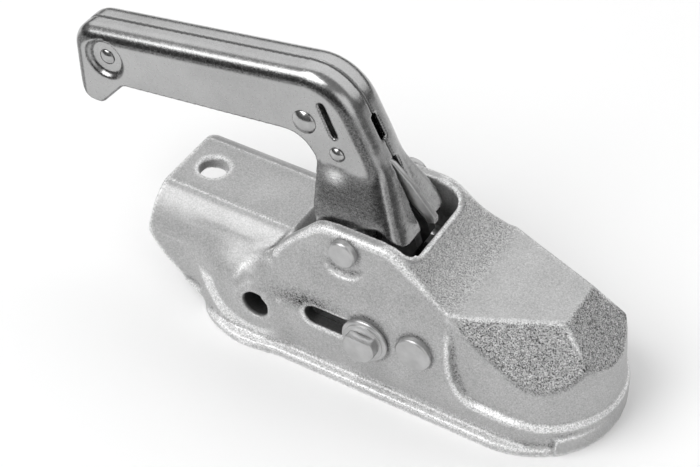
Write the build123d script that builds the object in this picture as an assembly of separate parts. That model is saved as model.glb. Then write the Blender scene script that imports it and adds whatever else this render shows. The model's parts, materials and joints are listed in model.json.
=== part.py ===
from build123d import *
import math
import os

os.makedirs("parts", exist_ok=True)

# Trailer coupling head for a 50 mm ball. The origin is the ball centre, +X points to the nose, +Z is up.

# Ball socket and nose
ball_radius = 25.0
ball_gap = 0.3
rim_drop = 26.0
mouth_radius = 34.0
mouth_height = 22.0
nose_radius = 37.9
nose_shift = 8.0
nose_draft = 5.0
nose_top = 37.5
nose_top_x = 22.4
nose_rear_x = -27.0
nose_rear_top = 35.5
facet_rear_half = 33.6
facet_front_half = 14.0
facet_slope = 1.36

# Rim flange, ledge and front pad
flange_half = 46.5
flange_height = 5.1
flange_rear = -158.0
ledge_shift = 6.6
ledge_side = -8.5
ledge_front = -10.5
rim_shift = 1.2
pad_radius = 47.0
pad_top = -15.0
pad_angle = 49.0

# Handle pivot
pivot_x = -81.0
pivot_z = 45.8
pivot_radius = 5.0
pivot_head_radius = 7.0
pivot_head_height = 3.5
pivot_seat = 31.5
seat_radius = 13.5
running_gap = 0.05

# Side plates and ears
plate_half = 41.5
ear_half = 30.8
ear_rise = 8.8
ear_round = 2.5
side_wall = 7.5
ear_wall = 6.6
lip_x = -50.5
lip_corner = 5.0
lip_bevel = 2.5

# Drawbar socket
bar_radius = 25.0
bar_gap = 0.3
socket_top = 32.0
socket_flat = 17.0
socket_half = 36.5
socket_rear = -191.0
web_thick = 5.0
cavity_rear = -107.0
boss_half = 43.0
boss_top = 18.0
bar_bolt_radius = 7.25
side_hole_x = -124.0
top_hole_x = -174.5

# Cross bolt and its slot
bolt_x = -64.0
bolt_z = 6.6
bolt_radius = 5.0
bolt_head_radius = 8.2
bolt_head_height = 5.0
bolt_flat = 5.5
bolt_travel = 28.0
slot_gap = 0.35
washer_radius = 12.0
washer_thick = 2.5
washer_step = 0.6
slide_gap = 0.3
nut_across = 16.0
nut_height = 8.0
bevel = 0.7

# Jaw and carriage
jaw_pin_x = -38.5
jaw_pin_z = 10.7
jaw_pin_radius = 6.0
jaw_head_radius = 9.15
jaw_head_proud = 2.2
jaw_head_sunk = 1.2
jaw_hub_radius = 9.5
jaw_hub_half = 29.0
jaw_back = -45.0
jaw_half = 18.0
jaw_bottom = -19.0
carriage_gap = 0.4
cheek_inner = 13.0
cheek_outer = 20.0
bar_thick = 5.1
bar_top = -2.0
bar_bottom = -14.0
bar_play = 1.0

# Handle shells
sheet = 2.5
grip_half = 13.0
grip_end = -244.5
grip_end_top = 99.6
grip_foot_x = -215.0
grip_foot_z = 74.8
hook_z = 59.0
spine_x = -95.8
spine_z = 125.1
throat_x = -108.4
throat_z = 89.4
front_foot_x = -60.5
skirt_half = 20.8
bend_z = 76.0
rim_z = 57.0
fold_radius = 8.0
flare_radius = 9.0
seam_gap = 0.1
lug_radius = 10.0

# Rivets, levers and safety catch
rivet_shank = 3.0
rivet_edge = 0.4
grip_rivet_x = -224.3
grip_rivet_z = 87.5
grip_rivet_radius = 4.0
dish_floor = 8.7
dish_wall = 2.2
dish_depth = 2.5
dome_rivet_x = -112.5
dome_rivet_z = 95.8
dome_rivet_radius = 6.2
catch_x = -95.4
catch_z = 83.7
catch_rivet_radius = 3.8
spacer_radius = 5.0
catch_thick = 3.0
lever_thick = 5.0
lever_inner = 3.5
lever_half = 11.0
fork_play = 1.0
far = 60.0


def face(outline):
    if isinstance(outline, list):
        outline = Polyline(*outline, close=True)
    return make_face(outline)


def plate(outline, y0, y1):
    return Pos(0, y1, 0) * extrude(Plane.XZ * face(outline), y1 - y0)


def section(outline, x0, x1):
    return Pos(x0, 0, 0) * extrude(Plane.YZ * face(outline), x1 - x0)


def slab(outline, z0, z1):
    return Pos(0, 0, z0) * extrude(face(outline), z1 - z0)


def rod(x, z, radius, y0, y1):
    return Pos(x, (y0 + y1) / 2, z) * Rot(90, 0, 0) * Cylinder(radius, y1 - y0)


def head(x, z, radius, y0, y1):
    blank = rod(x, z, radius, y0, y1)
    return chamfer(blank.edges().group_by(Axis.Y)[0], bevel)


def box(x0, x1, y0, y1, z0, z1):
    return Pos((x0 + x1) / 2, (y0 + y1) / 2, (z0 + z1) / 2) * Box(x1 - x0, y1 - y0, z1 - z0)


def drafted(radius, shift, rear, z0, z1, draft):
    straight = Pos((rear + shift) / 2, 0, 0) * Rectangle(shift - rear, 2 * radius)
    outline = Pos(shift, 0, 0) * Circle(radius) + straight
    return Pos(0, 0, z0) * extrude(outline, z1 - z0, taper=draft)


def both_sides(shape):
    return shape + mirror(shape, Plane.XZ)


rim = -rim_drop
flange_top = rim + flange_height
ear_top = pivot_z + ear_rise

# Housing: side plates that rise into the ears and run forward as a ledge round the nose
plate_rear = side_hole_x - 4
ear_start = pivot_x - 7
nose_front = nose_shift + nose_radius + 5
side_edge = Spline(
    (plate_rear, 0), (pivot_x - 38, ear_top - 24.6), (pivot_x - 23, ear_top - 8.1), (ear_start, ear_top),
    tangents=[(0.1, 1), (1, 0)],
)
side_edge += Line((ear_start, ear_top), (bolt_x, ear_top))
side_edge += Spline(
    (bolt_x, ear_top), (lip_x + 3.5, ear_top - 7.8), (nose_rear_x, nose_rear_top),
    tangents=[(1, 0), (1, -0.35)],
)
side_edge += Spline(
    (nose_rear_x, nose_rear_top), (nose_rear_x + 4.8, 18), (nose_rear_x + 9.5, 0),
    (nose_rear_x + 19, ledge_side), tangents=[(0.4, -1), (1, -0.15)],
)
side_edge += Polyline(
    (nose_rear_x + 19, ledge_side), (nose_front, ledge_front), (nose_front, rim), (side_hole_x, rim),
    (plate_rear, 0),
)
ear_edge = Spline(
    (plate_half, 4), (plate_half - 1, 16), (36.5, 28), (ear_half + 1.4, 38), (ear_half, 48),
    tangents=[(0, 1), (0, 1)],
)
ear_edge += Polyline((ear_half, 48), (ear_half, far), (0, far), (0, rim), (plate_half, rim), (plate_half, 4))
ledge_end = (ledge_shift + plate_half, 0)
round_front = ThreePointArc((ledge_shift, -plate_half), ledge_end, (ledge_shift, plate_half))
round_front += Line((ledge_shift, plate_half), (ledge_shift, -plate_half))
side_stock = both_sides(section(ear_edge, plate_rear - 10, ledge_shift)) + slab(round_front, rim, 0)
sides = plate(side_edge, -far, far) & side_stock
upper_edges = sides.edges().filter_by_position(Axis.Z, nose_rear_top + 1, far)
ear_edges = [edge for edge in upper_edges if abs((edge @ 0.5).Y) > ear_half / 2]
sides = fillet(ear_edges, ear_round)

# Housing: nose with its flat top and three facets
nose_base = nose_radius + rim_drop * math.tan(math.radians(nose_draft))
nose_side = [
    (nose_rear_x, rim), (nose_rear_x, nose_rear_top), (nose_rear_x + 9, nose_rear_top - 0.9),
    (nose_top_x, nose_top), (nose_top_x + 26, nose_top - 28), (nose_top_x + 26, rim),
]
nose = drafted(nose_base, nose_shift, nose_rear_x - nose_base, rim, far, nose_draft)
nose = nose & plate(nose_side, -far, far)


def facet(x, half, z):
    reach = 40
    corners = [(-half, z), (-half - reach, z - facet_slope * reach), (-half - reach, z + 30), (-half, z + 30)]
    return Pos(x, 0, 0) * (Plane.YZ * face(corners))


share = (nose_front - nose_rear_x) / (nose_top_x - nose_rear_x)
facet_half = facet_rear_half + share * (facet_front_half - facet_rear_half)
facet_top = nose_rear_top + share * (nose_top - nose_rear_top)
near_facet = loft(
    [facet(nose_rear_x, facet_rear_half, nose_rear_top), facet(nose_front, facet_half, facet_top)], ruled=True
)
nose = nose - near_facet - mirror(near_facet, Plane.XZ)

# Housing: rim flange and front pad
pad_reach = 2 * pad_radius
pad_corner = pad_reach * math.tan(math.radians(pad_angle))
pad_wedge = face([(0, 0), (pad_reach, -pad_corner), (pad_reach, pad_corner)])
front_pad = Pos(rim_shift, 0, rim) * extrude(Circle(pad_radius) & pad_wedge, pad_top - rim)
flange_edge = Line((rim_shift, flange_half), (cavity_rear, flange_half))
flange_edge += Spline(
    (cavity_rear, flange_half), (flange_rear + 28, flange_half + 2.5), (flange_rear + 10, flange_half - 2),
    (flange_rear, flange_half - 8.5), tangents=[(-1, 0), (-1, -1)],
)
flange_edge += Polyline(
    (flange_rear, flange_half - 8.5), (flange_rear, 0), (rim_shift, 0), (rim_shift, flange_half)
)
flange = both_sides(slab(flange_edge, rim, flange_top))
flange += Pos(rim_shift, 0, rim + flange_height / 2) * Cylinder(flange_half, flange_height)

# Housing: drawbar socket, cut away obliquely below, with a bead along the cut
socket_edge = Polyline((0, socket_top), (socket_flat, socket_top), (socket_flat + 4, socket_top - 1.3))
socket_edge += ThreePointArc(
    (socket_flat + 4, socket_top - 1.3), (socket_half - 5.9, 21.7), (socket_half - 1, 12)
)
socket_edge += Polyline((socket_half - 1, 12), (socket_half, rim), (0, rim), (0, socket_top))
socket = both_sides(section(socket_edge, socket_rear, cavity_rear))
cut_x = flange_rear - 8.4
cut_foot = flange_rear + 7
low_cut = ThreePointArc((socket_rear - 1, 14), (socket_rear + 7, 0), (cut_x, -13))
low_cut += Polyline((cut_x, -13), (cut_foot, rim - 1), (socket_rear - 1, rim - 1), (socket_rear - 1, 14))
socket = socket - plate(low_cut, -far, far)
bead_tip = (cut_x - 4, -10)
bead = Spline(bead_tip, (cut_x + 3, -15), (cut_foot, rim), tangents=[(1, -0.7), (0.4, -1)])
bead += Line((cut_foot, rim), (cut_foot + 9, rim))
bead += Spline((cut_foot + 9, rim), (cut_x + 9, -12), bead_tip, tangents=[(-0.4, 1), (-1, 0.5)])
bead = plate(bead, -socket_half - 2, socket_half + 2)

# Housing: boss round the side bolt, fading into the socket
boss_rear = side_hole_x - 52
boss_front = cavity_rear + 1
boss_plan = Spline(
    (boss_rear, socket_half - 1.5), (boss_rear + 26, socket_half + 4.5), (boss_rear + 38, boss_half),
    tangents=[(1, 0), (1, 0)],
)
boss_plan += Polyline(
    (boss_rear + 38, boss_half), (boss_front - 8, boss_half), (boss_front, plate_half), (boss_front, 0),
    (boss_rear, 0), (boss_rear, socket_half - 1.5),
)
boss_cross = Spline(
    (boss_half, boss_top - 13), (boss_half - 1.8, boss_top - 6), (socket_half - 2.5, boss_top),
    tangents=[(0, 1), (-1, 0.4)],
)
boss_cross += Polyline(
    (socket_half - 2.5, boss_top), (0, boss_top), (0, rim), (boss_half, rim), (boss_half, boss_top - 13)
)
boss_side = Spline(
    (boss_rear, -4), (boss_rear + 28, boss_top - 4), (boss_rear + 42, boss_top + 1),
    tangents=[(1, 0.2), (1, 0)],
)
boss_side += Polyline(
    (boss_rear + 42, boss_top + 1), (boss_front, boss_top + 1), (boss_front, rim), (cut_foot, rim),
    (cut_x, -13), (boss_rear, -4),
)
boss = slab(boss_plan, rim, far) & section(boss_cross, boss_rear, boss_front) & plate(boss_side, 0, far)

# Housing: openings for ball, mechanism, handle, drawbar, bolts and pins
ball_space_radius = ball_radius + ball_gap
mouth_top = mouth_height - rim_drop
ball_space = Sphere(ball_space_radius) + Pos(0, 0, mouth_top / 2) * Cylinder(ball_space_radius, -mouth_top)
ball_space += Pos(0, 0, mouth_top - mouth_height / 2) * Cone(mouth_radius, ball_space_radius, mouth_height)
inner = plate_half - side_wall
ear_inner = ear_half - ear_wall
cavity_cross = [
    (inner, rim - 1), (inner, 14), (ear_inner, 34), (ear_inner, 40), (-ear_inner, 40), (-ear_inner, 34),
    (-inner, 14), (-inner, rim - 1),
]
cavity_side = [
    (cavity_rear, rim - 1), (cavity_rear, 22), (cavity_rear - 11, 33), (cavity_rear - 11, 40), (lip_x, 40),
    (lip_x + 4.5, 25), (nose_rear_x + 3, 22), (-14, 8), (-14, rim - 1),
]
cavity = section(cavity_cross, cavity_rear - 13, 0) & plate(cavity_side, -far, far)
well = box(cavity_rear - 11, lip_x, -ear_inner, ear_inner, 39, far + 1)
well_corners = well.edges().filter_by(Axis.Z).group_by(Axis.X)[-1]
cavity += fillet(well_corners, lip_corner)
lip_top = ear_top - 5.4
lip_cut = [
    (lip_x - 1, lip_top - lip_bevel - 1), (lip_x + lip_bevel + 4, lip_top + 4), (lip_x - 1, lip_top + 4)
]
cavity += plate(lip_cut, lip_corner - ear_inner, ear_inner - lip_corner)
bar_space_radius = bar_radius + bar_gap
bar_stop = cavity_rear - web_thick
bar_length = bar_stop - socket_rear + 1
bar_space = Pos(bar_stop - bar_length / 2, 0, 0) * Rot(0, 90, 0) * Cylinder(bar_space_radius, bar_length)
bar_space += box(socket_rear - 1, bar_stop, -bar_space_radius, bar_space_radius, rim - 1, 0)
slot_half = bolt_radius + slot_gap
slot_front = bolt_x + slot_gap
slot_rear = bolt_x - bolt_travel - slot_gap
slot = rod(slot_front, bolt_z, slot_half, -far, far) + rod(slot_rear, bolt_z, slot_half, -far, far)
slot += box(slot_rear, slot_front, -far, far, bolt_z - slot_half, bolt_z + slot_half)
jaw_seat = plate_half - jaw_head_sunk
housing = sides + nose + front_pad + flange + socket + bead + both_sides(boss)
housing = housing - ball_space - cavity - bar_space - slot
housing = housing - both_sides(rod(pivot_x, pivot_z, seat_radius, -far, -pivot_seat))
housing = housing - rod(pivot_x, pivot_z, pivot_radius + running_gap, -far, far)
housing = housing - both_sides(rod(jaw_pin_x, jaw_pin_z, jaw_head_radius + running_gap, -far, -jaw_seat))
housing = housing - rod(jaw_pin_x, jaw_pin_z, jaw_pin_radius + running_gap, -far, far)
housing = housing - rod(side_hole_x, 0, bar_bolt_radius, -far, far)
housing = housing - Pos(top_hole_x, 0, socket_top) * Cylinder(bar_bolt_radius, 40)
export_step(housing, "parts/housing.step")

# Handle pivot pin, riveted over at both ends
pivot_end = pivot_seat + pivot_head_height
pivot_pin = rod(pivot_x, pivot_z, pivot_radius, -pivot_seat, pivot_seat)
pivot_pin += both_sides(head(pivot_x, pivot_z, pivot_head_radius, -pivot_end, -pivot_seat))
export_step(pivot_pin, "parts/pivot_pin.step")

# Jaw pin with flat heads let into the side plates
jaw_pin = rod(jaw_pin_x, jaw_pin_z, jaw_pin_radius, -jaw_seat, jaw_seat)
jaw_pin += both_sides(head(jaw_pin_x, jaw_pin_z, jaw_head_radius, -plate_half - jaw_head_proud, -jaw_seat))
export_step(jaw_pin, "parts/jaw_pin.step")

# Ball jaw: a wide hub on the jaw pin and a claw that closes under the back of the ball
jaw_side = [
    (jaw_back, jaw_pin_z), (jaw_back, jaw_bottom + 9), (jaw_back + 8, jaw_bottom), (-14, jaw_bottom),
    (-18, 0), (jaw_pin_x + jaw_hub_radius - 0.5, jaw_pin_z),
]
jaw = plate(jaw_side, -jaw_half, jaw_half)
jaw += rod(jaw_pin_x, jaw_pin_z, jaw_hub_radius, -jaw_hub_half, jaw_hub_half)
jaw = jaw - Sphere(ball_space_radius) - rod(jaw_pin_x, jaw_pin_z, jaw_pin_radius + running_gap, -far, far)
export_step(jaw, "parts/ball_jaw.step")

# Lever plates inside the handle: on the pivot pin and the catch rivet, forked over the cross bolt
reach_x = bolt_x - pivot_x
reach_z = bolt_z - pivot_z
reach = math.hypot(reach_x, reach_z)


def lever_point(distance, side):
    x = pivot_x + (distance * reach_x - side * reach_z) / reach
    z = pivot_z + (distance * reach_z + side * reach_x) / reach
    return (x, z)


lever_end = reach + bolt_radius + 3
lever_outer = lever_inner + lever_thick
fork_half = bolt_radius + fork_play
fork_start = -reach_z - fork_play
fork_end = lever_end + far
arm = [
    lever_point(0, lever_half), lever_point(lever_end, lever_half), lever_point(lever_end, -lever_half),
    lever_point(0, -lever_half),
]
neck = [
    (pivot_x - lever_half, pivot_z), (pivot_x + lever_half, pivot_z), (catch_x + 8, catch_z),
    (catch_x - 8, catch_z),
]
fork = [
    lever_point(fork_start, fork_half), lever_point(fork_end, fork_half), lever_point(fork_end, -fork_half),
    lever_point(fork_start, -fork_half),
]
fork_root = lever_point(fork_start, 0)
lever = plate(arm, -lever_outer, -lever_inner) + plate(neck, -lever_outer, -lever_inner)
lever += rod(pivot_x, pivot_z, lever_half + 1, -lever_outer, -lever_inner)
lever += rod(catch_x, catch_z, 8, -lever_outer, -lever_inner)
lever = lever - plate(fork, -far, far) - rod(fork_root[0], fork_root[1], fork_half, -far, far)
lever = lever - rod(pivot_x, pivot_z, pivot_radius + running_gap, -far, far)
lever = lever - rod(catch_x, catch_z, rivet_shank + running_gap, -far, far)
export_step(lever, "parts/lever_near.step")
export_step(mirror(lever, Plane.XZ), "parts/lever_far.step")

# Carriage on the cross bolt; its front bar backs the closed jaw and passes below the levers
carriage_front = jaw_back - carriage_gap
bar_back = carriage_front - bar_thick
bar_step = pivot_z - math.hypot(lever_end, lever_half) - bar_play
cheek_side = [
    (bolt_x - 11, bolt_z - 11.6), (bolt_x - 11, bolt_z + 10.4), (bolt_x + 12, bolt_z + 10.4),
    (bolt_x + 14, bolt_z + 5.4), (bolt_x + 14, bar_top), (carriage_front, bar_top),
    (carriage_front, bar_bottom), (bolt_x + 4, bar_bottom),
]
bar_side = [
    (bar_back - 7.5, bar_bottom), (carriage_front, bar_bottom), (carriage_front, bar_top),
    (bar_back, bar_top), (bar_back, bar_step), (bar_back - 7.5, bar_step),
]
carriage = both_sides(plate(cheek_side, -cheek_outer, -cheek_inner))
carriage += plate(bar_side, -cheek_outer, cheek_outer)
carriage = carriage - rod(bolt_x, bolt_z, bolt_radius + running_gap, -far, far)
export_step(carriage, "parts/carriage.step")

# Cross bolt with one flat on its head, two stepped washers and a nut on the far side
washer_face = plate_half + slide_gap
head_seat = washer_face + washer_thick
step_seat = head_seat - washer_step
washer = head(bolt_x, bolt_z, washer_radius, -step_seat, -washer_face)
washer += rod(bolt_x, bolt_z, (washer_radius + bolt_head_radius) / 2, -head_seat, -step_seat)
washer = washer - rod(bolt_x, bolt_z, bolt_radius + running_gap, -far, far)
export_step(washer, "parts/washer_near.step")
export_step(mirror(washer, Plane.XZ), "parts/washer_far.step")
bolt_head = head(bolt_x, bolt_z, bolt_head_radius, -head_seat - bolt_head_height, -head_seat)
bolt_head = bolt_head - box(bolt_x - far, bolt_x + far, -far, 0, bolt_z + bolt_flat, bolt_z + far)
nut_end = head_seat + nut_height
cross_bolt = rod(bolt_x, bolt_z, bolt_radius, -head_seat, nut_end + 2) + bolt_head
export_step(cross_bolt, "parts/cross_bolt.step")
nut_outline = Plane.XZ * Pos(bolt_x, bolt_z) * RegularPolygon(nut_across / 2, 6, major_radius=False)
nut_corner = nut_across / math.sqrt(3)
nut = Pos(0, nut_end, 0) * extrude(nut_outline, nut_height)
nut = nut & mirror(head(bolt_x, bolt_z, nut_corner, -nut_end, -head_seat), Plane.XZ)
nut = nut - rod(bolt_x, bolt_z, bolt_radius + running_gap, -far, far)
export_step(nut, "parts/bolt_nut.step")

# Handle shells: sheet folded round the top, the rear end and the front, and flared out to the ears
front_lean = (spine_z - rim_z) / (front_foot_x - spine_x)
cover = spine_z + far


def front_x(z):
    return front_foot_x - (z - rim_z) / front_lean


def rounded(corners):
    shape = face([(x, z) for x, z, radius in corners])
    for x, z, radius in corners:
        if radius > 0:
            shape = fillet(shape.vertices().sort_by_distance((x, z))[0], radius)
    return shape


def pressing(inset):
    outline = rounded([
        (grip_end, 0, 0), (grip_end, grip_end_top, 13), (spine_x, spine_z, 28), (front_x(0), 0, 0),
    ])
    if inset > 0:
        outline = offset(outline, -inset)
    half = grip_half - inset
    foot_half = skirt_half - inset
    flare = rounded([
        (0, cover, 0), (-half, cover, 0), (-half, bend_z, flare_radius), (-foot_half, rim_z, flare_radius),
        (-foot_half, 0, 0), (0, 0, 0),
    ])
    stock = Pos(throat_x, 0, 0) * extrude(Plane.YZ * flare, far)
    stock += box(grip_end, throat_x, -half, 0, 0, cover)
    blank = extrude(Plane.XZ * outline, far) & stock
    folds = [edge for edge in blank.edges() if is_fold(edge, half, inset)]
    return fillet(folds, fold_radius - inset)


def is_fold(edge, half, inset):
    middle = edge @ 0.5
    on_side = max((edge @ 0).Y, (edge @ 1).Y) < 0.1 - half and middle.Z > 1 + inset
    on_rear = middle.X < grip_end + inset + 0.1
    on_front = middle.X > front_x(middle.Z) - inset * math.hypot(1, 1 / front_lean) - 0.1
    return on_side and (on_rear or on_front or middle.Z > throat_z + inset)


side_outline = rounded([
    (grip_end, cover, 0), (front_foot_x + far, cover, 0), (front_foot_x + far, rim_z, 0),
    (front_foot_x, rim_z, 0), (pivot_x + lug_radius, rim_z - 1.5, 0), (pivot_x + lug_radius, pivot_z, 0),
    (pivot_x - 2 * lug_radius, pivot_z, 0), (throat_x + 3, rim_z, 0), (throat_x, throat_z, 15),
    (grip_foot_x, grip_foot_z, 4), (grip_foot_x - 14, hook_z, 6), (grip_end + 5, hook_z, 8),
    (grip_end, hook_z + 16, 12),
])
hollow = pressing(sheet)
hollow += Pos(0, sheet, 0) * hollow
lug = rod(pivot_x, pivot_z, lug_radius, -far, -seam_gap)
shell = pressing(0) & (Pos(0, -seam_gap, 0) * extrude(Plane.XZ * side_outline, far) + lug)
shell = shell - hollow - rod(pivot_x, pivot_z, pivot_radius + running_gap, -far, far)

# Handle shells: slot in the side, rivet dish and holes, spine window and the gap for the safety catch
slot_top = (-103.6, 108)
slot_foot = (-97, 93.7)
slot_width = 3.2
slot_length = math.dist(slot_top, slot_foot)
slot_turn = math.degrees(math.atan2(slot_top[1] - slot_foot[1], slot_foot[0] - slot_top[0]))
slot_middle = Pos((slot_top[0] + slot_foot[0]) / 2, 0, (slot_top[1] + slot_foot[1]) / 2)
shell = shell - slot_middle * Rot(0, slot_turn, 0) * Box(slot_length, 2 * far, slot_width)
shell = shell - rod(slot_top[0], slot_top[1], slot_width / 2, -far, far)
shell = shell - rod(slot_foot[0], slot_foot[1], slot_width / 2, -far, far)
shell_inside = grip_half - sheet
dish_inside = shell_inside - dish_depth
dish = Rot(90, 0, 0) * Cone(dish_floor, dish_floor + dish_wall, dish_depth)
shell += rod(grip_rivet_x, grip_rivet_z, dish_floor + sheet, -shell_inside, -dish_inside)
shell = shell - Pos(grip_rivet_x, dish_depth / 2 - grip_half, grip_rivet_z) * dish
for x, z in ((grip_rivet_x, grip_rivet_z), (dome_rivet_x, dome_rivet_z), (catch_x, catch_z)):
    shell = shell - rod(x, z, rivet_shank + running_gap, -far, far)
spine_turn = math.degrees(math.atan(front_lean))
shell = shell - Pos(front_x(97), 0, 97) * Rot(0, spine_turn, 0) * Box(13, 4, 12)
catch_gap = [
    (0, bend_z + 6), (-catch_thick / 2 - 1, bend_z + 6), (-catch_thick / 2 - 1, bend_z + 2),
    (9 - skirt_half, rim_z), (9 - skirt_half, 0), (0, 0),
]
shell = shell - section(catch_gap, front_x(bend_z + 6) - 2 * sheet, far)
export_step(shell, "parts/handle_shell_near.step")
export_step(mirror(shell, Plane.XZ), "parts/handle_shell_far.step")

# Rivets through both shells and the tubes that keep the shells apart
def rivet(x, z, radius, height, seat):
    top = seat + rivet_edge + height
    ball = (height**2 + radius**2) / (2 * height)
    cap = rod(x, z, radius, -top - 1, -seat) & (Pos(x, ball - top, z) * Sphere(ball))
    return rod(x, z, rivet_shank, -seat, seat) + both_sides(cap)


def tube(x, z, bore, radius, y0, y1):
    return rod(x, z, radius, y0, y1) - rod(x, z, bore + running_gap, -far, far)


grip_rivet = rivet(grip_rivet_x, grip_rivet_z, grip_rivet_radius, 1.6, grip_half - dish_depth)
export_step(grip_rivet, "parts/grip_rivet.step")
dome_rivet = rivet(dome_rivet_x, dome_rivet_z, dome_rivet_radius, 2.6, grip_half)
export_step(dome_rivet, "parts/dome_rivet.step")
catch_rivet = rivet(catch_x, catch_z, catch_rivet_radius, 1.8, grip_half)
export_step(catch_rivet, "parts/catch_rivet.step")
grip_tube = tube(grip_rivet_x, grip_rivet_z, rivet_shank, spacer_radius, -dish_inside, dish_inside)
export_step(grip_tube, "parts/grip_spacer.step")
dome_tube = tube(dome_rivet_x, dome_rivet_z, rivet_shank, spacer_radius, -shell_inside, shell_inside)
export_step(dome_tube, "parts/dome_spacer.step")
pivot_tube = tube(pivot_x, pivot_z, pivot_radius, pivot_radius + 2, -skirt_half + sheet, -lever_outer)
export_step(pivot_tube, "parts/pivot_spacer_near.step")
export_step(mirror(pivot_tube, Plane.XZ), "parts/pivot_spacer_far.step")

# Safety catch between the lever plates: toe behind the lip, finger bar in the grip
catch_side = [
    (catch_x, catch_z + 5.5), (-72.8, 79.1), (-63.4, 70.7), (lip_x - 0.2, 56.3), (lip_x - 0.1, 53.3),
    (lip_x - 3.5, 52), (-68, 64), (-90, 76), (catch_x, catch_z - 5.5), (-140, 79.5), (-141.5, 84.5),
    (-113, 82.5), (catch_x - 6, catch_z + 2),
]
catch = plate(catch_side, -catch_thick / 2, catch_thick / 2)
catch += rod(catch_x, catch_z, 6, -catch_thick / 2, catch_thick / 2)
catch = catch - rod(catch_x, catch_z, rivet_shank + running_gap, -far, far)
export_step(catch, "parts/safety_catch.step")


def coil(x, z, radius, wire, turns, y0):
    pitch = 2.3 * wire
    path = Helix(pitch, pitch * turns, radius)
    ring = sweep(Plane(path @ 0, z_dir=path % 0) * Circle(wire), path=path)
    return Pos(x, y0, z) * Rot(-90, 0, 0) * ring


# Return spring on the pivot spacer and the small spring of the catch
return_spring = coil(pivot_x, pivot_z, pivot_radius + 3.4, 1.0, 3, -skirt_half + sheet + 1.2)
export_step(return_spring, "parts/return_spring.step")
catch_spring = coil(catch_x, catch_z, 4.4, 0.35, 1.2, catch_thick / 2 + 0.45)
export_step(catch_spring, "parts/catch_spring.step")
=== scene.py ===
import bmesh
import bpy
import json
import math
import numpy as np
from mathutils import Matrix, Vector, noise


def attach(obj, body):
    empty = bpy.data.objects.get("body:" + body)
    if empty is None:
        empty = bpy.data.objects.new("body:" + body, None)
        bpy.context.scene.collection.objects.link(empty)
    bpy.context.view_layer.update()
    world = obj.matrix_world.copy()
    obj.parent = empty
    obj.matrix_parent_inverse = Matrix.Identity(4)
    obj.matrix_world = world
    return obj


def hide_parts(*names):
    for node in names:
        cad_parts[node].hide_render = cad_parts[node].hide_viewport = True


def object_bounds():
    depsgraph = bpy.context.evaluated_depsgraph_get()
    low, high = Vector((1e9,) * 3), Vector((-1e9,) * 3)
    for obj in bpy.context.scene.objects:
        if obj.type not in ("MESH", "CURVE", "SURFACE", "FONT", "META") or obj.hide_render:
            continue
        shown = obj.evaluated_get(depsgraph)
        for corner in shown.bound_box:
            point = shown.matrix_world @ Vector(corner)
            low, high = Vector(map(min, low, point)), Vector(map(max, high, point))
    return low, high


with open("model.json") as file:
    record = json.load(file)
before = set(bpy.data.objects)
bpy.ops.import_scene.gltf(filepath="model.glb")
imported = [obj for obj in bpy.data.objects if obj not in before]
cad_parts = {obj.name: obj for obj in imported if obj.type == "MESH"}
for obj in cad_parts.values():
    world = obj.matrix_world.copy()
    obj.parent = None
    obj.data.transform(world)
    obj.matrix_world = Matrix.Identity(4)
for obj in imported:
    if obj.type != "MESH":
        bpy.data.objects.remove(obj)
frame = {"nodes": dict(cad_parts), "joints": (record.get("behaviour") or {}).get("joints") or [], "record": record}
cad_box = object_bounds()
nodes = frame["nodes"]


# Housing: one zinc-plated casting with the ball socket, the two ears and the drawbar socket.
# It is sand cast, so every edge is soft, the open faces are grainy and the worked faces are smooth.
# The holes for the pins and bolts are bored after casting.
to_mm = 1000
cast_voxel = 0.00107
cast_rounds = 3
cast_swell = 0.00005
swell_scale = 260.0
boss_rounds = 90
boss_swell = 0.0009
side_hole_x = -124
bolt_x = -64
bolt_z = 6.6
bolt_travel = 28
joint_places = {
    joint["name"]: np.array(joint["pos_m"]) * to_mm for joint in frame["joints"] if joint["type"] == "hinge"
}
pivot_x, _, pivot_z = joint_places["handle_lift"]
jaw_pin_x, _, jaw_pin_z = joint_places["jaw_swing"]
body_of_node = {
    node: body for body, members in frame["record"]["behaviour"]["bodies"].items() for node in members
}


def merged_copy(name, node):
    mesh = nodes[node].data.copy()
    work = bmesh.new()
    work.from_mesh(mesh)
    bmesh.ops.remove_doubles(work, verts=work.verts, dist=1e-6)
    work.to_mesh(mesh)
    work.free()
    mesh.shade_smooth()
    copy = bpy.data.objects.new(name, mesh)
    bpy.context.collection.objects.link(copy)
    return copy


def bake(piece):
    graph = bpy.context.evaluated_depsgraph_get()
    mesh = bpy.data.meshes.new_from_object(piece.evaluated_get(graph), depsgraph=graph)
    piece.modifiers.clear()
    piece.data = mesh


def reskin(piece, voxel, rounds):
    skin = piece.modifiers.new("skin", "REMESH")
    skin.mode = "VOXEL"
    skin.voxel_size = voxel
    skin.use_smooth_shade = True
    soften = piece.modifiers.new("soften", "SMOOTH")
    soften.factor = 0.5
    soften.iterations = rounds
    bake(piece)


def vertex_rows(mesh, what):
    rows = np.empty(len(mesh.vertices) * 3)
    mesh.vertices.foreach_get(what, rows)
    return rows.reshape(-1, 3)


def move_to(mesh, points):
    mesh.vertices.foreach_set("co", points.ravel())
    mesh.update()


def push_out(mesh, heights):
    move_to(mesh, vertex_rows(mesh, "co") + vertex_rows(mesh, "normal") * heights[:, None])


def levelled(mesh, rounds):
    points = vertex_rows(mesh, "co")
    pairs = np.empty(len(mesh.edges) * 2, dtype=int)
    mesh.edges.foreach_get("vertices", pairs)
    starts, ends = pairs.reshape(-1, 2).T
    count = np.bincount(pairs, minlength=len(points))[:, None]
    for _ in range(rounds):
        total = np.zeros_like(points)
        for axis in range(3):
            total[:, axis] += np.bincount(starts, points[ends, axis], len(points))
            total[:, axis] += np.bincount(ends, points[starts, axis], len(points))
        points = total / count
    return points


def bulge_of(mesh, rounds):
    lifts = vertex_rows(mesh, "co") - levelled(mesh, rounds)
    return (lifts * vertex_rows(mesh, "normal")).sum(axis=1)


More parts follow.
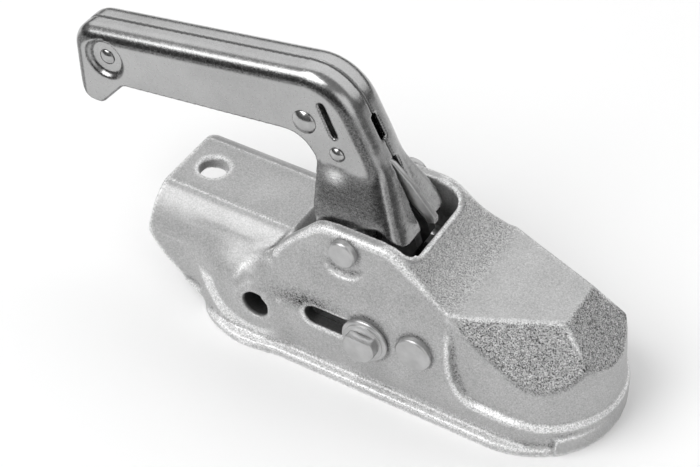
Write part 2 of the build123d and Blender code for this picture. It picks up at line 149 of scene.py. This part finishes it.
def blend_soft(mesh, rounds, weights):
    points = vertex_rows(mesh, "co")
    move_to(mesh, points + (levelled(mesh, rounds) - points) * weights[:, None])


def ramp(values, start, end):
    step = np.clip((values - start) / (end - start), 0, 1)
    return step * step * (3 - 2 * step)


def bell(values, middle, width):
    return np.exp(-(((values - middle) / width) ** 2))


def paint(mesh, name, values):
    layer = mesh.attributes.new(name, "FLOAT", "POINT")
    layer.data.foreach_set("value", np.clip(values, 0, 1).astype(np.float32))


casting = merged_copy("housing_casting", "housing")
reskin(casting, cast_voxel, cast_rounds)

# The side bosses flow into the socket and swell a little round the bolt hole.
x, y, z = vertex_rows(casting.data, "co").T * to_mm
from_hole = np.hypot(x - side_hole_x, z)
boss_blend = ramp(x, -172, -160) * ramp(x, -110, -118) * ramp(z, -8, 0) * ramp(z, 31, 26)
boss_blend *= ramp(np.abs(y), 27, 30) * ramp(from_hole, 11, 15)
blend_soft(casting.data, boss_rounds, boss_blend)
skin_points = vertex_rows(casting.data, "co")
skin_points[:, 1] += boss_swell * np.sign(y) * ramp(from_hole, 22, 11) * ramp(np.abs(y), 36, 39)
move_to(casting.data, skin_points)
waves = np.array([noise.noise(Vector(point) * swell_scale) for point in skin_points])
push_out(casting.data, cast_swell * (waves - 0.6))

# Painted highlights: the raised corners, the ledge round the nose, the socket's bevel, the boss and the rim flange
# are lightened.
x, y, z = vertex_rows(casting.data, "co").T * to_mm
out = np.abs(y)
up = vertex_rows(casting.data, "normal")[:, 2]
from_hole = np.hypot(x - side_hole_x, z)
bulge = bulge_of(casting.data, 4) * to_mm
blended = ramp(x, -24, -14) * ramp(z, -2, 3) * (1 - ramp(x, 14, 10) * ramp(z, 31, 34))
blended *= 1 - ramp(x, 10, 16) * bell(out, 17, 5) * bell(z, 31, 6)
corners = ramp(bulge, 0.05, 0.26) * (1 - 0.85 * blended) * (1 - 0.8 * ramp(from_hole, 15, 12))
corners *= 1 - 0.5 * ramp(x, -42, -34) * ramp(x, 14, 8) * ramp(z, 27, 30)
ledge = ramp(x, -22, -10) * ramp(z, -14, -11) * ramp(z, -4, -7) * ramp(up, 0.2, 0.5)
bevel = 0.8 * bell(out, 17.6, 0.6) * ramp(z, 27, 29) * ramp(x, -106, -110)
from_sweep = np.abs(np.hypot(x + 126, z - 12) - 31)
sweep = ramp(from_sweep, 5.5, 3.0) * ramp(x, -110, -122) * ramp(z, 4, 0) * ramp(out, 26, 32)
crest = 0.7 * bell(np.hypot(x + 117, z - 4), 20.4, 1.5) * ramp(x, -116, -121)
crest *= ramp(z, 8, 12) * ramp(out, 30, 36)
foot = 0.6 * ramp(z, -24, -22) * ramp(z, -17, -19.5) * ramp(out, 40, 41.5)
paint(casting.data, "edge_highlight", np.maximum.reduce((corners, ledge, bevel, sweep, crest, foot)))

# Coarse grain: the facets of the nose and, more weakly, the slope up to the opening, but not its lip.
from_lip = np.hypot(np.maximum(x + 55.5, 0), np.maximum(out - 19.2, 0)) - 5
lip_face = ramp(from_lip, 3, 2.6) * ramp(x, -60, -54)
facets = ramp(x, -24, -18) * ramp(z, 6, 12) * ramp(up, 0.35, 0.5) * ramp(up, 0.93, 0.82)
rise = 0.55 * ramp(x, -52, -47) * ramp(x, -20, -28) * ramp(up, 0.6, 0.8)
paint(casting.data, "rough", np.maximum(facets, rise) * (1 - lip_face))

# Painted shade in the hollows, round the pin heads, below the facets and along the lip, and a dark smudge beside
# the slot.
hollows = 0.7 * ramp(-bulge, 0.05, 0.35)
smudge = 1.3 * bell(x, -95, 15) * bell(z, 13, 5) * ramp(out, 36, 40)
facet_foot = 0.6 * ramp(bulge, 0.04, 0.16) * blended * ramp(z, 30, 25) * ramp(out, 15, 20)
lip_line = 0.7 * bell(from_lip, 3, 0.4) * ramp(x, -60, -54) * ramp(up, 0.5, 0.7)
shade_and_smudge = np.maximum.reduce((hollows, smudge, facet_foot, lip_line))
for head_x, head_z, radius in ((bolt_x, bolt_z, 12.4), (jaw_pin_x, jaw_pin_z, 9.5), (pivot_x, pivot_z, 7.4)):
    ring = bell(np.hypot(x - head_x, z - head_z), radius, 0.8) * ramp(out, 29, 31)
    shade_and_smudge = np.maximum(shade_and_smudge, 0.7 * ring)
paint(casting.data, "hollow", shade_and_smudge)

# Painted shade in the bores: the walls of the slots and of the side hole are darkened.
from_slot = np.hypot(x - np.clip(x, bolt_x - bolt_travel, bolt_x), z - bolt_z)
slot_wall = ramp(from_slot, 6.6, 5.9) * ramp(out, 41.2, 40.4)
hole_wall = ramp(from_hole, 8.8, 8.0) * ramp(out, 42.6, 41.6)
paint(casting.data, "bore_shade", np.maximum(slot_wall, hole_wall))


def shader(name):
    material = bpy.data.materials.new(name)
    material.use_nodes = True
    tree = material.node_tree
    return material, tree, tree.nodes["Principled BSDF"]


def place_node(tree, kind, settings=(), **inputs):
    made = tree.nodes.new(kind)
    for key, value in settings:
        setattr(made, key, value)
    for key, value in inputs.items():
        socket = made.inputs[int(key[4:])] if key.startswith("slot") else made.inputs[key]
        if isinstance(value, bpy.types.NodeSocket):
            tree.links.new(value, socket)
        else:
            socket.default_value = value
    return made


def object_coords(tree):
    return place_node(tree, "ShaderNodeTexCoord").outputs["Object"]


def spread(tree, value, low, high, to_low, to_high):
    made = place_node(
        tree, "ShaderNodeMapRange", slot0=value, slot1=low, slot2=high, slot3=to_low, slot4=to_high
    )
    return made.outputs[0]


mottle_group = bpy.data.node_groups.new("mottle", "ShaderNodeTree")
mottle_group.interface.new_socket("Vector", in_out="INPUT", socket_type="NodeSocketVector")
for socket_name in ("Scale", "Low", "High"):
    mottle_group.interface.new_socket(socket_name, in_out="INPUT", socket_type="NodeSocketFloat")
mottle_group.interface.new_socket("Value", in_out="OUTPUT", socket_type="NodeSocketFloat")
inlet = mottle_group.nodes.new("NodeGroupInput").outputs
clouds = place_node(
    mottle_group, "ShaderNodeTexNoise", Vector=inlet["Vector"], Scale=inlet["Scale"], Detail=4.0
).outputs["Fac"]
cloud_levels = spread(mottle_group, clouds, 0.3, 0.7, inlet["Low"], inlet["High"])
mottle_group.links.new(cloud_levels, mottle_group.nodes.new("NodeGroupOutput").inputs["Value"])


def mottle(tree, coords, scale, low, high):
    placed = place_node(
        tree, "ShaderNodeGroup", [("node_tree", mottle_group)], Vector=coords, Scale=scale, Low=low, High=high
    )
    return placed.outputs["Value"]


def combine(tree, operation, first, second):
    made = place_node(tree, "ShaderNodeMath", [("operation", operation)], slot0=first, slot1=second)
    return made.outputs[0]


def mask(tree, name):
    return place_node(tree, "ShaderNodeAttribute", [("attribute_name", name)]).outputs["Fac"]


def add_bump(tree, surface, height, strength, depth):
    bump = place_node(tree, "ShaderNodeBump", Strength=strength, Distance=depth, Height=height)
    tree.links.new(bump.outputs[0], surface.inputs["Normal"])


zinc_casting, tree, surface = shader("zinc_casting")
coords = object_coords(tree)
rough = mask(tree, "rough")
edge_highlight = mask(tree, "edge_highlight")
hollow = mask(tree, "hollow")
grains = place_node(tree, "ShaderNodeTexVoronoi", Vector=coords, Scale=2000.0)
grain = place_node(tree, "ShaderNodeSeparateColor", slot0=grains.outputs["Color"]).outputs[0]
pitting = mottle(tree, coords, 1500, 0.0, 1.0)
fleck = combine(tree, "SUBTRACT", combine(tree, "ADD", grain, pitting), 1.0)
coarse = combine(tree, "MAXIMUM", rough, combine(tree, "MULTIPLY", hollow, 0.6))
coarse = combine(tree, "MAXIMUM", coarse, combine(tree, "MULTIPLY", edge_highlight, 0.9))
level = mottle(tree, coords, 60, 0.44, 0.5)
level = combine(tree, "ADD", level, combine(tree, "MULTIPLY", fleck, spread(tree, coarse, 0, 1, 0.15, 0.5)))
# Painted highlight along the edges, painted shade in the hollows and near-black painted shade in the bores.
level = combine(tree, "ADD", level, combine(tree, "MULTIPLY", edge_highlight, 0.34))
level = combine(tree, "SUBTRACT", level, combine(tree, "MULTIPLY", hollow, 0.26))
level = combine(tree, "SUBTRACT", level, combine(tree, "MULTIPLY", rough, 0.06))
level = combine(tree, "MULTIPLY", level, spread(tree, mask(tree, "bore_shade"), 0, 1, 1.0, 0.12))
tree.links.new(level, surface.inputs["Base Color"])
surface.inputs["Metallic"].default_value = 0.55
tree.links.new(spread(tree, pitting, 0, 1, 0.4, 0.58), surface.inputs["Roughness"])
relief = combine(tree, "ADD", grain, pitting)
relief = combine(tree, "MULTIPLY", relief, spread(tree, coarse, 0, 1, 0.2, 1.0))
add_bump(tree, surface, relief, 0.5, 0.00012)


def finish_piece(piece, node, material):
    piece.data.materials.clear()
    piece.data.materials.append(material)
    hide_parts(node)
    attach(piece, body_of_node[node])


finish_piece(casting, "housing", zinc_casting)


# Pins, cross bolt, nut and washers: turned steel with a bright zinc plate and broken edges.
# The pins are riveted into the housing and the cross bolt rides in its two slots.
pin_edge = 0.0002
turned_steel, tree, surface = shader("turned_steel")
coords = object_coords(tree)
scuff = mottle(tree, coords, 700, 0.0, 1.0)
tree.links.new(mottle(tree, coords, 140, 0.44, 0.56), surface.inputs["Base Color"])
surface.inputs["Metallic"].default_value = 0.9
tree.links.new(spread(tree, scuff, 0, 1, 0.3, 0.44), surface.inputs["Roughness"])
add_bump(tree, surface, scuff, 0.12, 0.00008)


def break_edges(piece, width):
    broken = piece.modifiers.new("broken_edges", "BEVEL")
    broken.width = width
    broken.segments = 2
    broken.limit_method = "ANGLE"
    broken.angle_limit = math.radians(32)
    broken.harden_normals = True
    bake(piece)


def machined(node, material, width):
    piece = merged_copy(node + "_finished", node)
    break_edges(piece, width)
    finish_piece(piece, node, material)


for node in ("pivot_pin", "jaw_pin", "cross_bolt", "bolt_nut", "washer_near", "washer_far"):
    machined(node, turned_steel, pin_edge)


# Ball jaw, carriage and lever plates: dull forged and stamped steel inside the housing.
# The jaw turns on its pin, the carriage slides with the cross bolt, the levers turn with the handle.
forged_edge = 0.0005
forged_steel, tree, surface = shader("forged_steel")
coords = object_coords(tree)
forge_skin = mottle(tree, coords, 260, 0.0, 1.0)
tree.links.new(spread(tree, forge_skin, 0, 1, 0.1, 0.2), surface.inputs["Base Color"])
surface.inputs["Metallic"].default_value = 0.8
tree.links.new(spread(tree, forge_skin, 0, 1, 0.4, 0.6), surface.inputs["Roughness"])
add_bump(tree, surface, forge_skin, 0.15, 0.0002)
for node in ("ball_jaw", "carriage"):
    machined(node, forged_steel, forged_edge)


def prism(outline, y_first, y_last):
    work = bmesh.new()
    rims = []
    for y in (y_first, y_last):
        rims.append([work.verts.new((x / to_mm, y / to_mm, z / to_mm)) for x, z in outline])
    work.faces.new(rims[0])
    work.faces.new(rims[1])
    for first in range(len(outline)):
        after = (first + 1) % len(outline)
        work.faces.new((rims[0][first], rims[0][after], rims[1][after], rims[1][first]))
    bmesh.ops.recalc_face_normals(work, faces=work.faces)
    mesh = bpy.data.meshes.new("prism")
    work.to_mesh(mesh)
    work.free()
    made = bpy.data.objects.new("prism", mesh)
    bpy.context.collection.objects.link(made)
    return made


def join_to(piece, tool):
    joined = piece.modifiers.new("joined", "BOOLEAN")
    joined.operation = "UNION"
    joined.object = tool
    bake(piece)
    bpy.data.objects.remove(tool)


lever_inner = 3.5
lever_outer = 8.5
tab_outline = ((-101, 84), (-105.8, 92), (-107, 101), (-108, 106.5), (-99.5, 107.5), (-92, 93), (-89, 84))
nose_outline = ((-80, 54), (-67, 53), (-57.5, 47), (-55.8, 41), (-60, 31), (-76, 37))
for node, side in (("lever_near", -1), ("lever_far", 1)):
    lever = merged_copy(node + "_finished", node)
    for outline in (tab_outline, nose_outline):
        join_to(lever, prism(outline, lever_inner * side, lever_outer * side))
    break_edges(lever, forged_edge)
    finish_piece(lever, node, forged_steel)


# Handle shells: two mirrored steel pressings, zinc plated and semi-gloss.
# They meet in a seam along the spine and are riveted together over spacer tubes.
# The skirt flares out to the ears, turns in at the front and leaves a gap for the safety catch.
sheet_voxel = 0.00062
sheet_rounds = 4
bend_rounds = 40
pin_room = 5.5
sheet = 2.5
fold_radius = 8.0
grip_half = 13
bend_z = 76
rim_z = 57
front_foot_x = -60.5
front_lean = 1.929
shells_apart = 78
rim_line = ((-104, 47.6), (-96, 48), (-89, 49.5), (-82, 51.5), (-76, 53.5), (-71, 54.6))
lobe_line = ((0, 53.5), (15, 52), (30, 50.5), (45, 49.3), (60, 48.6), (75, 48.2), (90, 48))
lobe_end = 48.2
catch_x, _, catch_z = joint_places["catch_squeeze"]

pressed_zinc, tree, surface = shader("pressed_zinc")
coords = object_coords(tree)
flare = mask(tree, "flare")
fold = mask(tree, "fold")
peel = mottle(tree, coords, 520, 0.0, 1.0)
grit = mottle(tree, coords, 1300, 0.0, 1.0)
tone = combine(tree, "MULTIPLY", mottle(tree, coords, 40, 0.38, 0.45), spread(tree, grit, 0, 1, 0.95, 1.05))
# Painted shade: folds that face partly sideways are darkened, with grain, where a dark reflection would fall.
fold_shade = combine(tree, "MULTIPLY", fold, spread(tree, grit, 0.1, 0.9, 1.0, 0.6))
tone = combine(tree, "MULTIPLY", tone, spread(tree, fold_shade, 0, 1, 1.0, 0.16))
# Painted highlight: the glint mask lightens a spot on the flared skirt and a line along its rim.
tone = combine(tree, "ADD", tone, combine(tree, "MULTIPLY", mask(tree, "glint"), 0.5))
across = place_node(tree, "ShaderNodeSeparateXYZ", Vector=coords).outputs["Y"]
off_seam = spread(tree, combine(tree, "ABSOLUTE", across, 0.0), 0.0004, 0.0007, 0.0, 1.0)
seam_tone = 0.14
tone = combine(tree, "MULTIPLY", combine(tree, "SUBTRACT", tone, seam_tone), off_seam)
tree.links.new(combine(tree, "ADD", tone, seam_tone), surface.inputs["Base Color"])
tree.links.new(off_seam, surface.inputs["Metallic"])
gloss = combine(tree, "MULTIPLY", spread(tree, peel, 0, 1, 0.7, 0.6), off_seam)
tree.links.new(combine(tree, "SUBTRACT", 0.9, gloss), surface.inputs["Roughness"])
relief = combine(tree, "ADD", combine(tree, "MULTIPLY", grit, fold), combine(tree, "MULTIPLY", peel, flare))
relief = combine(tree, "ADD", relief, combine(tree, "MULTIPLY", peel, 0.3))
add_bump(tree, surface, relief, 0.16, 0.00014)


def front_x(z):
    return front_foot_x - (z - rim_z) / front_lean


def side_half(z):
    below = max(rim_z - z, 0)
    return grip_half + 0.41 * (bend_z - max(z, rim_z)) + 0.36 * below - 0.012 * below**2


def gap_half(z):
    return 2.3 + 0.05 * (shells_apart - z)


def side_point(rear, z, inset):
    return rear + 0.3 * (rim_z - z), side_half(z) - inset


def lobe_point(turn, z, inset):
    bend = fold_radius - inset
    return (
        front_x(z) - fold_radius + bend * math.sin(turn),
        side_half(z) - fold_radius + bend * math.cos(turn),
    )


def skirt_path():
    for rear, low in rim_line:
        yield low, lambda z, inset, rear=rear: side_point(rear, z, inset)
    for degrees, low in lobe_line:
        yield low, lambda z, inset, turn=math.radians(degrees): lobe_point(turn, z, inset)
    yield lobe_end, lambda z, inset: (front_x(z) - inset, gap_half(z))


def skirt_rings():
    rings = []
    for low, place in skirt_path():
        levels = np.linspace(60, low + 0.8, 5)
        (x_out, y_out), (x_in, y_in) = place(low, 0), place(low, sheet)
        ring = [(*place(z, 0), z) for z in levels]
        for share in (0.3, 0.7):
            ring.append((x_out + (x_in - x_out) * share, y_out + (y_in - y_out) * share, low))
        rings.append(ring + [(*place(z, sheet), z) for z in levels[::-1]])
    return rings


def panel_rings():
    rings = []
    for z, fold_half in ((shells_apart - 0.5, 5.0), (70, 7.5), (57, 12.8), (52, 12.8)):
        front = front_x(z)
        back = front - sheet
        flap = gap_half(z)
        rings.append([(front, fold_half, z), (front, flap, z), (back, flap, z), (back, fold_half, z)])
    return rings


def loft_onto(piece, rings, side):
    work = bmesh.new()
    loops = []
    for ring in rings:
        loops.append([work.verts.new((x / to_mm, y / to_mm * side, z / to_mm)) for x, y, z in ring])
    work.faces.new(loops[0])
    work.faces.new(loops[-1][::-1])
    for upper, lower in zip(loops, loops[1:]):
        for first in range(len(upper)):
            after = (first + 1) % len(upper)
            work.faces.new((upper[after], upper[first], lower[first], lower[after]))
    if work.calc_volume(signed=True) < 0:
        bmesh.ops.reverse_faces(work, faces=work.faces)
    work.from_mesh(piece.data)
    work.to_mesh(piece.data)
    work.free()


def clear_pin(mesh):
    points = vertex_rows(mesh, "co")
    from_pin = points[:, (0, 2)] - np.array((pivot_x, pivot_z)) / to_mm
    reach = np.linalg.norm(from_pin, axis=1)
    crowding = reach < pin_room / to_mm
    points[crowding, 0::2] += from_pin[crowding] * (pin_room / to_mm / reach[crowding] - 1)[:, None]
    move_to(mesh, points)


for node, side in (("handle_shell_near", -1), ("handle_shell_far", 1)):
    shell = merged_copy(node + "_pressing", node)
    loft_onto(shell, skirt_rings(), side)
    loft_onto(shell, panel_rings(), side)
    reskin(shell, sheet_voxel, sheet_rounds)
    clear_pin(shell.data)
    x, y, z = vertex_rows(shell.data, "co").T * to_mm
    bend = ramp(x, -110, -104) * ramp(z, 52, 58) * ramp(z, 90, 82) * ramp(np.abs(y), 3, 6)
    blend_soft(shell.data, bend_rounds, bend * ramp(np.hypot(x - catch_x, z - catch_z), 5, 9))
    # Painted shade on the folds by how far they face sideways, less on the flared skirt, and painted highlights at
    # a spot and along the rim.
    sideways = np.abs(vertex_rows(shell.data, "normal")[:, 1])
    flared = ramp(z, 82, 72) * ramp(x, -112, -106)
    glint = bell(x, -96, 4.5) * bell(z, 71.5, 3)
    upper_fold = ramp(sideways, 0.6, 0.8)
    lower_fold = ramp(sideways, 0.12, 0.5) * (1 - 0.8 * bell(sideways, 0.7, 0.06))
    darkened = (upper_fold * (1 - flared) + lower_fold * flared) * ramp(sideways, 0.995, 0.965)
    rim_light = bell(z - np.interp(x, *np.transpose(rim_line)), 1.2, 1.1) * ramp(x, -66, -72)
    paint(shell.data, "fold", darkened * (1 - glint) * (1 - 0.15 * flared))
    paint(shell.data, "flare", flared)
    paint(shell.data, "glint", np.maximum(glint, 0.45 * rim_light) * flared)
    finish_piece(shell, node, pressed_zinc)


# Rivets and spacers: three domed steel rivets hold the two shells together over plain steel tubes.
# The rivets are set cold, which leaves their domes bright, and the tubes are cut to length.
rivet_edge = 0.0001
bright_rivet, tree, surface = shader("bright_rivet")
coords = object_coords(tree)
tree.links.new(mottle(tree, coords, 300, 0.36, 0.46), surface.inputs["Base Color"])
surface.inputs["Metallic"].default_value = 1.0
tree.links.new(mottle(tree, coords, 900, 0.12, 0.22), surface.inputs["Roughness"])
for node in ("grip_rivet", "dome_rivet", "catch_rivet"):
    machined(node, bright_rivet, rivet_edge)
for node in ("grip_spacer", "dome_spacer", "pivot_spacer_near", "pivot_spacer_far"):
    machined(node, turned_steel, pin_edge)


# Safety catch: a plate blanked from thick steel sheet and zinc plated like the handle.
# It turns on the small rivet between the two shells, and its toe sits over the lip of the opening.
catch_edge = 0.0004
machined("safety_catch", turned_steel, catch_edge)


# Springs: a return coil round the pivot and a small coil at the safety catch.
# Both are wound from drawn spring wire and sit inside the handle.
spring_wire, tree, surface = shader("spring_wire")
tree.links.new(mottle(tree, object_coords(tree), 700, 0.12, 0.22), surface.inputs["Base Color"])
surface.inputs["Metallic"].default_value = 0.9
surface.inputs["Roughness"].default_value = 0.35
for node in ("return_spring", "catch_spring"):
    nodes[node].data.materials.clear()
    nodes[node].data.materials.append(spring_wire)


# Studio: the coupling stands with its rim on a wide pale floor, in a dim room that is lighter overhead.
# A square soft box lights it from the near rear, a long one from the far side, a weak one from the nose.
# The camera looks down on the near side and the nose.
bpy.ops.mesh.primitive_circle_add(vertices=96, radius=4, fill_type="NGON", location=(0, 0, cad_box[0][2]))
floor = bpy.context.object
floor.name = "floor"
floor_paint, tree, surface = shader("floor_paint")
tree.links.new(mottle(tree, object_coords(tree), 3, 0.97, 0.99), surface.inputs["Base Color"])
surface.inputs["Roughness"].default_value = 0.8
surface.inputs["Specular IOR Level"].default_value = 0.1
floor.data.materials.append(floor_paint)

world = bpy.data.worlds.new("studio")
bpy.context.scene.world = world
world.use_nodes = True
tree = world.node_tree
direction = place_node(tree, "ShaderNodeTexCoord").outputs["Generated"]
height = place_node(tree, "ShaderNodeSeparateXYZ", Vector=direction).outputs["Z"]
tree.links.new(spread(tree, height, 0.1, 0.6, 0.1, 0.3), tree.nodes["Background"].inputs["Color"])
middle = Vector((-0.097, 0, 0.024))
light_distance = 3


def soft_box(name, direction, width, depth, radiance):
    light = bpy.data.lights.new(name, "AREA")
    light.shape = "RECTANGLE"
    light.size = width
    light.size_y = depth
    light.energy = radiance * math.pi * width * depth
    box = bpy.data.objects.new(name, light)
    bpy.context.collection.objects.link(box)
    box.location = middle + Vector(direction).normalized() * light_distance
    box.rotation_euler = Vector(direction).to_track_quat("Z", "Y").to_euler()


soft_box("key_light", (-0.38, -0.49, 0.79), 2.2, 2.2, 4.1)
soft_box("back_light", (-0.11, 0.62, 0.62), 8.0, 2.6, 1.0)
soft_box("fill_light", (0.75, -0.5, 0.45), 2.4, 2.4, 1.0)

azimuth = math.radians(31.3)
elevation = math.radians(43.3)
roll = math.radians(-0.7)
distance = 0.85714
toward = Vector(
    (math.sin(azimuth) * math.cos(elevation), -math.cos(azimuth) * math.cos(elevation), math.sin(elevation))
)
lens = bpy.data.cameras.new("photo_view")
lens.sensor_width = 36
lens.lens = 92.57
eye = bpy.data.objects.new("photo_view", lens)
bpy.context.collection.objects.link(eye)
turned = toward.to_track_quat("Z", "Y").to_matrix().to_4x4()
eye.matrix_world = Matrix.Translation(middle + toward * distance) @ turned @ Matrix.Rotation(roll, 4, "Z")
bpy.context.scene.camera = eye
bpy.context.scene.view_settings.view_transform = "Standard"
